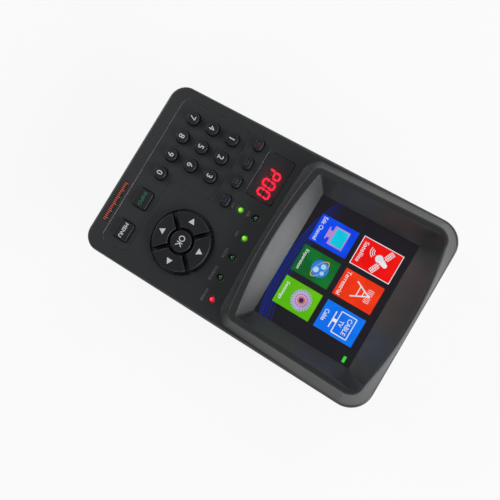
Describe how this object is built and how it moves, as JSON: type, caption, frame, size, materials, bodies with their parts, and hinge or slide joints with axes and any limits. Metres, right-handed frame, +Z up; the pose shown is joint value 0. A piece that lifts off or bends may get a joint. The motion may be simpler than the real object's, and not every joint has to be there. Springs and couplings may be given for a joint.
{
  "type": "satellite signal meter",
  "caption": "Handheld satellite signal meter: flat keypad deck with press keys, navigation pad, indicator lamps and red digit display, and a colour screen in a raised sun hood.",
  "frame": {"origin": "on the surface it rests on, under the middle of the case", "axes": "+X to the user's right, +Y from the keypad end to the screen end, +Z up out of the keypad"},
  "size_m": [0.105, 0.175, 0.0411],
  "materials": {
    "case": "fine-grained charcoal ABS",
    "keys": "satin black key caps",
    "silicone": "grey silicone with domes",
    "board": "green solder resist",
    "flat_cable": "white flat cable",
    "smoked": "dark red-tinted window",
    "black_parts": "plain black mouldings",
    "green_lens": "diffused green lamp",
    "red_lens": "diffused red lamp",
    "screen_glass": "clear cover over the colour screen",
    "steel": "zinc plated",
    "tinned_steel": "tinned screening can",
    "nickel": "nickel plated brass",
    "battery_wrap": "blue shrink wrap",
    "rubber_feet": "black rubber"
  },
  "bodies": {
    "root": {"front_cover": "case", "back_cover": "case", "key_mat": "silicone", "key_board": "board", "keypad_cable": "flat_cable", "display_window": "smoked", "digit_display": "black_parts", "lamp_tone": "green_lens", "lamp_low_volts": "green_lens", "lamp_high_volts": "green_lens", "lamp_lock": "green_lens", "lamp_charge": "green_lens", "lamp_power": "red_lens", "screen_window": "screen_glass", "screen_panel": "black_parts", "screen_tray": "steel", "battery_pack": "battery_wrap", "foot_left_keypad": "rubber_feet", "foot_left_head": "rubber_feet", "foot_right_keypad": "rubber_feet", "foot_right_head": "rubber_feet", "case_screw_left_keypad": "steel", "case_screw_left_head": "steel", "case_screw_right_keypad": "steel", "case_screw_right_head": "steel", "main_board": "board", "satellite_tuner": "tinned_steel", "aerial_tuner": "tinned_steel", "speaker": "black_parts", "satellite_input": "nickel", "loop_output": "nickel", "aerial_input": "nickel", "power_switch": "tinned_steel", "data_port": "nickel", "picture_port": "nickel", "power_jack": "black_parts", "audio_jack": "black_parts"},
    "key_0": {"key_0": "keys"},
    "key_1": {"key_1": "keys"},
    "key_2": {"key_2": "keys"},
    "key_3": {"key_3": "keys"},
    "key_4": {"key_4": "keys"},
    "key_5": {"key_5": "keys"},
    "key_6": {"key_6": "keys"},
    "key_7": {"key_7": "keys"},
    "key_8": {"key_8": "keys"},
    "key_9": {"key_9": "keys"},
    "key_f1": {"key_f1": "keys"},
    "key_f2": {"key_f2": "keys"},
    "key_f3": {"key_f3": "keys"},
    "key_f4": {"key_f4": "keys"},
    "key_info": {"key_info": "keys"},
    "key_menu": {"key_menu": "keys"},
    "key_right": {"key_right": "keys"},
    "key_up": {"key_up": "keys"},
    "key_left": {"key_left": "keys"},
    "key_down": {"key_down": "keys"},
    "key_ok": {"key_ok": "keys"},
    "switch_knob": {"switch_knob": "keys"},
    "battery_door": {"battery_door": "case"}
  },
  "joints": [
    {"name": "key_0_press", "type": "slide", "parent": "root", "child": "key_0", "axis": [0, 0, -1], "range_m": [0, 0.001], "stiffness_N_per_m": 1200, "deforming": ["key_mat"]},
    {"name": "key_1_press", "type": "slide", "parent": "root", "child": "key_1", "axis": [0, 0, -1], "range_m": [0, 0.001], "stiffness_N_per_m": 1200, "deforming": ["key_mat"]},
    {"name": "key_2_press", "type": "slide", "parent": "root", "child": "key_2", "axis": [0, 0, -1], "range_m": [0, 0.001], "stiffness_N_per_m": 1200, "deforming": ["key_mat"]},
    {"name": "key_3_press", "type": "slide", "parent": "root", "child": "key_3", "axis": [0, 0, -1], "range_m": [0, 0.001], "stiffness_N_per_m": 1200, "deforming": ["key_mat"]},
    {"name": "key_4_press", "type": "slide", "parent": "root", "child": "key_4", "axis": [0, 0, -1], "range_m": [0, 0.001], "stiffness_N_per_m": 1200, "deforming": ["key_mat"]},
    {"name": "key_5_press", "type": "slide", "parent": "root", "child": "key_5", "axis": [0, 0, -1], "range_m": [0, 0.001], "stiffness_N_per_m": 1200, "deforming": ["key_mat"]},
    {"name": "key_6_press", "type": "slide", "parent": "root", "child": "key_6", "axis": [0, 0, -1], "range_m": [0, 0.001], "stiffness_N_per_m": 1200, "deforming": ["key_mat"]},
    {"name": "key_7_press", "type": "slide", "parent": "root", "child": "key_7", "axis": [0, 0, -1], "range_m": [0, 0.001], "stiffness_N_per_m": 1200, "deforming": ["key_mat"]},
    {"name": "key_8_press", "type": "slide", "parent": "root", "child": "key_8", "axis": [0, 0, -1], "range_m": [0, 0.001], "stiffness_N_per_m": 1200, "deforming": ["key_mat"]},
    {"name": "key_9_press", "type": "slide", "parent": "root", "child": "key_9", "axis": [0, 0, -1], "range_m": [0, 0.001], "stiffness_N_per_m": 1200, "deforming": ["key_mat"]},
    {"name": "key_f1_press", "type": "slide", "parent": "root", "child": "key_f1", "axis": [0, 0, -1], "range_m": [0, 0.001], "stiffness_N_per_m": 1200, "deforming": ["key_mat"]},
    {"name": "key_f2_press", "type": "slide", "parent": "root", "child": "key_f2", "axis": [0, 0, -1], "range_m": [0, 0.001], "stiffness_N_per_m": 1200, "deforming": ["key_mat"]},
    {"name": "key_f3_press", "type": "slide", "parent": "root", "child": "key_f3", "axis": [0, 0, -1], "range_m": [0, 0.001], "stiffness_N_per_m": 1200, "deforming": ["key_mat"]},
    {"name": "key_f4_press", "type": "slide", "parent": "root", "child": "key_f4", "axis": [0, 0, -1], "range_m": [0, 0.001], "stiffness_N_per_m": 1200, "deforming": ["key_mat"]},
    {"name": "key_info_press", "type": "slide", "parent": "root", "child": "key_info", "axis": [0, 0, -1], "range_m": [0, 0.001], "stiffness_N_per_m": 1200, "deforming": ["key_mat"]},
    {"name": "key_menu_press", "type": "slide", "parent": "root", "child": "key_menu", "axis": [0, 0, -1], "range_m": [0, 0.001], "stiffness_N_per_m": 1200, "deforming": ["key_mat"]},
    {"name": "key_right_press", "type": "slide", "parent": "root", "child": "key_right", "axis": [0, 0, -1], "range_m": [0, 0.001], "stiffness_N_per_m": 1200, "deforming": ["key_mat"]},
    {"name": "key_up_press", "type": "slide", "parent": "root", "child": "key_up", "axis": [0, 0, -1], "range_m": [0, 0.001], "stiffness_N_per_m": 1200, "deforming": ["key_mat"]},
    {"name": "key_left_press", "type": "slide", "parent": "root", "child": "key_left", "axis": [0, 0, -1], "range_m": [0, 0.001], "stiffness_N_per_m": 1200, "deforming": ["key_mat"]},
    {"name": "key_down_press", "type": "slide", "parent": "root", "child": "key_down", "axis": [0, 0, -1], "range_m": [0, 0.001], "stiffness_N_per_m": 1200, "deforming": ["key_mat"]},
    {"name": "key_ok_press", "type": "slide", "parent": "root", "child": "key_ok", "axis": [0, 0, -1], "range_m": [0, 0.001], "stiffness_N_per_m": 1200, "deforming": ["key_mat"]},
    {"name": "switch_knob_slide", "type": "slide", "parent": "root", "child": "switch_knob", "axis": [1, 0, 0], "range_m": [0, 0.004]},
    {"name": "battery_door_slide", "type": "slide", "parent": "root", "child": "battery_door", "axis": [0, -1, 0], "range_m": [0, 0.0785]}
  ]
}
